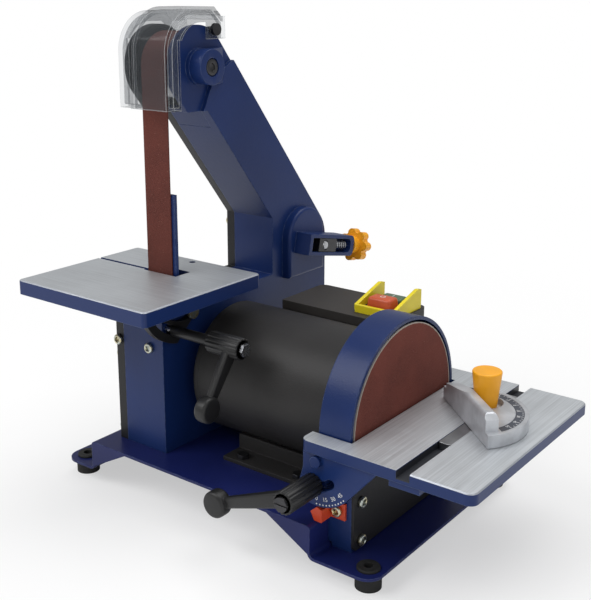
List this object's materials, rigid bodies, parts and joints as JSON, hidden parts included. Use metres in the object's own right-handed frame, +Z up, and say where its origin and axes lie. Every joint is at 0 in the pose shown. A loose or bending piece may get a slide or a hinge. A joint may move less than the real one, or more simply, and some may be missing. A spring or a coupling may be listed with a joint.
{
  "type": "belt and disc sander",
  "caption": "Bench sander with a narrow upright belt on a C-shaped arm, a disc with a tilting table and mitre gauge, a motor between them and a sheet metal base.",
  "frame": {"origin": "centre of the four rubber feet on the bench", "axes": "+X along the motor shaft from the belt to the disc, -Y towards the operator, +Z up"},
  "size_m": [0.361, 0.2931, 0.367],
  "materials": {
    "blue_sheet": "blue powder coat on bent sheet steel",
    "blue_casting": "blue paint on cast aluminium",
    "blue_housing": "blue paint on cast aluminium",
    "black_housing": "black paint on steel",
    "switch_box_black": "moulded black plastic",
    "black_sheet": "black moulded cover",
    "foot_rubber": "soft black rubber",
    "lamination_steel": "stacked laminations",
    "bearing_steel": "ground bearing steel",
    "shaft_steel": "turned steel",
    "zinc_screw": "yellow zinc plating",
    "fan_plastic": "moulded plastic",
    "disc_aluminium": "turned aluminium",
    "wheel_aluminium": "turned aluminium",
    "abrasive_cloth": "coated abrasive cloth",
    "ground_aluminium": "ground top, blue painted sides",
    "bracket_black": "black paint",
    "lever_plastic": "moulded black plastic",
    "pointer_red": "moulded red plastic",
    "mitre_steel": "cold drawn bar",
    "mitre_aluminium": "die cast",
    "scale_plate": "printed scale",
    "knob_orange": "moulded orange plastic",
    "clear_plastic": "clear polycarbonate",
    "switch_yellow": "moulded yellow plastic",
    "stop_red": "moulded red plastic",
    "start_green": "moulded green plastic",
    "capacitor_can": "drawn can"
  },
  "bodies": {
    "machine": {"base_plate": "blue_sheet", "rubber_feet": "foot_rubber", "motor_housing": "black_housing", "motor_end_bell_left": "black_housing", "motor_end_bell_right": "black_housing", "motor_saddle": "black_housing", "stator": "lamination_steel", "motor_bearings": "bearing_steel", "disc_housing": "blue_housing", "lower_disc_cover": "black_sheet", "disc_side_screws": "zinc_screw", "disc_pivot_screws": "zinc_screw", "disc_clamp_bolt": "shaft_steel", "angle_pointer": "pointer_red", "sanding_belt": "abrasive_cloth", "top_wheel_axle": "shaft_steel", "belt_frame": "blue_casting", "base_bolts": "zinc_screw", "belt_cover": "black_sheet", "belt_side_screws": "zinc_screw", "platen": "blue_casting", "tension_spring": "shaft_steel", "tension_washer": "shaft_steel", "belt_guard": "clear_plastic", "guard_screw": "zinc_screw", "tilt_guide_screw": "zinc_screw", "belt_clamp_rod": "shaft_steel", "switch_box": "switch_box_black", "switch_bezel": "switch_yellow", "switch_body": "switch_box_black", "run_capacitor": "capacitor_can", "cable_gland": "switch_box_black"},
    "spindle": {"rotor": "lamination_steel", "motor_shaft": "shaft_steel", "motor_fan": "fan_plastic", "drive_wheel": "wheel_aluminium", "disc_plate": "disc_aluminium", "abrasive_disc": "abrasive_cloth"},
    "top_roller": {"top_wheel": "wheel_aluminium", "top_wheel_bearings": "bearing_steel"},
    "tension_carriage": {"tension_slide": "shaft_steel", "rear_wheel_axle": "shaft_steel"},
    "rear_roller": {"rear_wheel": "wheel_aluminium", "rear_wheel_bearings": "bearing_steel"},
    "tension_screw": {"tension_knob": "knob_orange", "tension_rod": "shaft_steel"},
    "belt_rest": {"belt_table": "ground_aluminium", "belt_table_bracket": "bracket_black", "bracket_screws": "zinc_screw"},
    "belt_rest_lever": {"belt_table_lever": "lever_plastic"},
    "disc_rest": {"disc_table": "ground_aluminium", "disc_trunnion_front": "blue_housing", "disc_trunnion_rear": "blue_housing"},
    "disc_rest_lever": {"disc_table_lever": "lever_plastic"},
    "mitre_runner": {"mitre_bar": "mitre_steel"},
    "mitre_gauge": {"mitre_head": "mitre_aluminium", "mitre_scale": "scale_plate"},
    "mitre_lock": {"mitre_knob": "knob_orange"},
    "stop_key": {"stop_button": "stop_red"},
    "start_key": {"start_button": "start_green"}
  },
  "joints": [
    {"name": "shaft_spin", "type": "hinge", "parent": "machine", "child": "spindle", "pos_m": [0, -0.0132, 0.0915], "axis": [1, 0, 0], "continuous": true},
    {"name": "top_wheel_spin", "type": "hinge", "parent": "machine", "child": "top_roller", "pos_m": [-0.0772, -0.0327, 0.3243], "axis": [1, 0, 0], "continuous": true},
    {"name": "tension_knob_turn", "type": "hinge", "parent": "machine", "child": "tension_screw", "pos_m": [-0.03725, 0.0933, 0.1677], "axis": [0, 0.9781, -0.2079], "range_deg": [0, 2160]},
    {"name": "tension_slide_travel", "type": "slide", "parent": "machine", "child": "tension_carriage", "axis": [0, -0.9781, 0.2079], "range_m": [0, 0.0075], "deforming": ["tension_spring"]},
    {"name": "rear_wheel_spin", "type": "hinge", "parent": "tension_carriage", "child": "rear_roller", "pos_m": [-0.0772, 0.0933, 0.1677], "axis": [1, 0, 0], "continuous": true},
    {"name": "belt_table_tilt", "type": "hinge", "parent": "machine", "child": "belt_rest", "pos_m": [-0.047, -0.064, 0.166], "axis": [1, 0, 0], "range_deg": [0, 45]},
    {"name": "belt_table_lever_turn", "type": "hinge", "parent": "machine", "child": "belt_rest_lever", "pos_m": [0, -0.076, 0.134], "axis": [1, 0, 0], "range_deg": [-100, 25]},
    {"name": "disc_table_tilt", "type": "hinge", "parent": "machine", "child": "disc_rest", "pos_m": [0.098, -0.09, 0.0795], "axis": [0, 1, 0], "range_deg": [0, 45]},
    {"name": "disc_table_lever_turn", "type": "hinge", "parent": "machine", "child": "disc_rest_lever", "pos_m": [0.0955, -0.1, 0.0625], "axis": [0, 1, 0], "range_deg": [-28, 60]},
    {"name": "mitre_slide", "type": "slide", "parent": "disc_rest", "child": "mitre_runner", "axis": [0, 1, 0], "range_m": [-0.045, 0.055]},
    {"name": "mitre_swing", "type": "hinge", "parent": "mitre_runner", "child": "mitre_gauge", "pos_m": [0.1645, 0.0128, 0.1], "axis": [0, 0, 1], "range_deg": [-18, 101]},
    {"name": "mitre_knob_turn", "type": "hinge", "parent": "mitre_runner", "child": "mitre_lock", "pos_m": [0.1645, 0.0128, 0.11], "axis": [0, 0, 1], "range_deg": [0, 360]},
    {"name": "stop_push", "type": "slide", "parent": "machine", "child": "stop_key", "axis": [0, 0, -1], "range_m": [0, 0.003], "stiffness_N_per_m": 800, "springref_m": -0.002},
    {"name": "start_push", "type": "slide", "parent": "machine", "child": "start_key", "axis": [0, 0, -1], "range_m": [0, 0.003], "stiffness_N_per_m": 800, "springref_m": -0.002}
  ],
  "couplings": [
    {"joint": "top_wheel_spin", "follows": "shaft_spin", "ratio": 1.8125},
    {"joint": "rear_wheel_spin", "follows": "shaft_spin", "ratio": 1.8125},
    {"joint": "tension_knob_turn", "follows": "tension_slide_travel", "rad_per_m": 5026.5}
  ]
}
